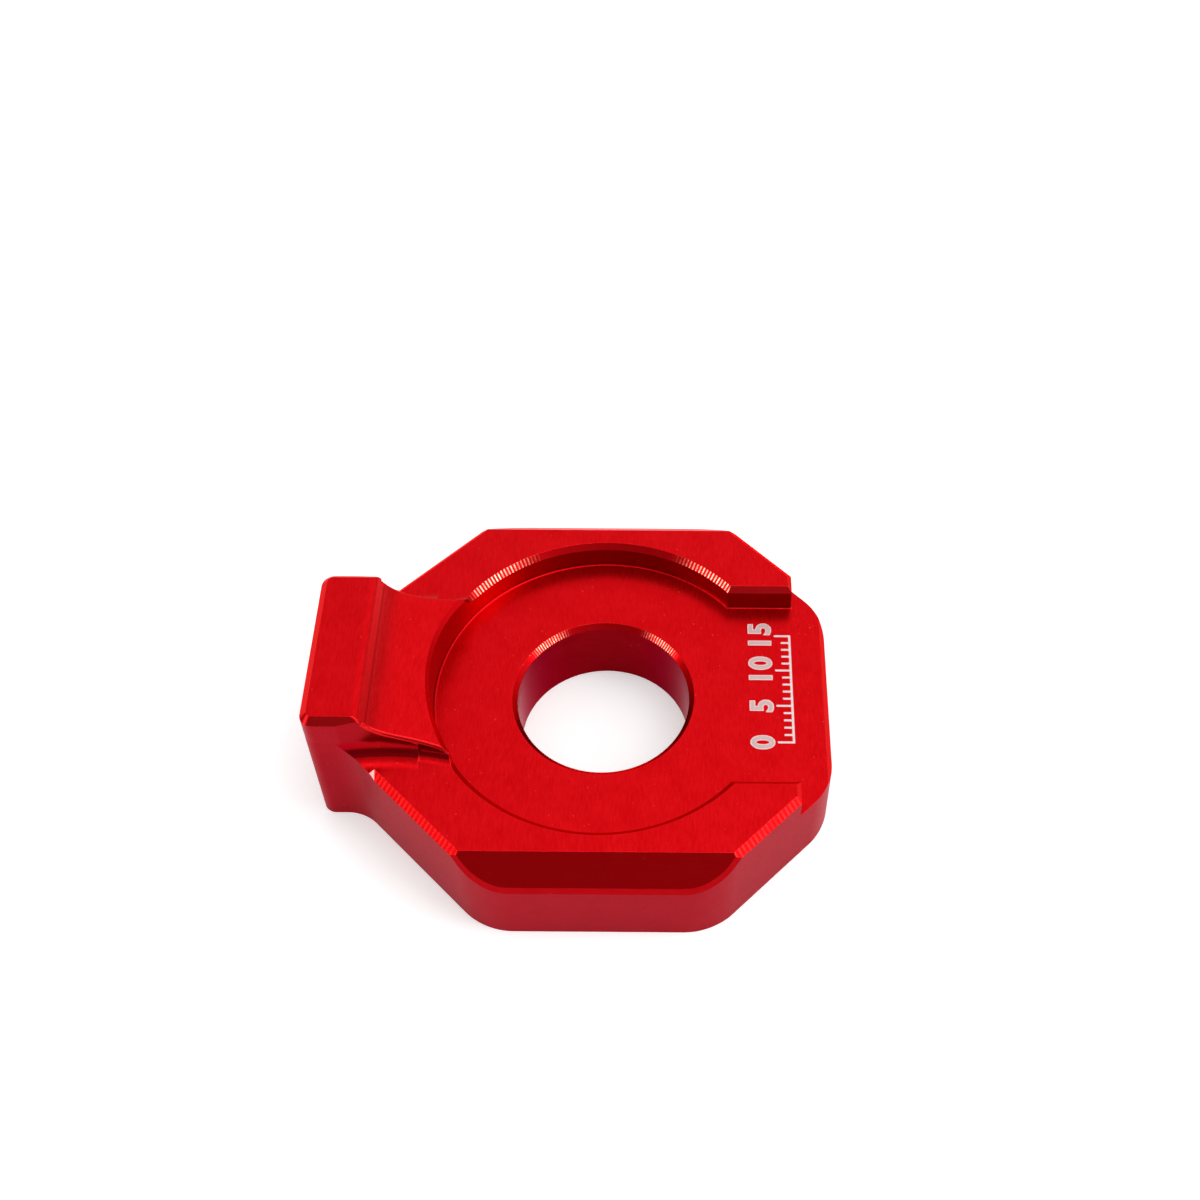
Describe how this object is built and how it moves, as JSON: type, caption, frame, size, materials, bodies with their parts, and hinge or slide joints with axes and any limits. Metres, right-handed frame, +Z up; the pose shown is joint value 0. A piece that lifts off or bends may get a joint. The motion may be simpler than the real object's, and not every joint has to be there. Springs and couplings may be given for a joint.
{
  "type": "motorcycle chain adjuster block",
  "caption": "Machined rear axle block that sets chain tension: octagonal plate with axle bore, round washer seat open to one end, and a raised boss for the adjuster bolt.",
  "frame": {"origin": "axis of the axle bore, at the bottom face", "axes": "+Z up along the axle bore, +X along the block away from the boss, +Y across the guide flats"},
  "size_m": [0.0588, 0.0508, 0.0191],
  "materials": {
    "red_anodised": "red anodised, milled"
  },
  "bodies": {
    "root": {"axle_block": "red_anodised"}
  },
  "joints": []
}
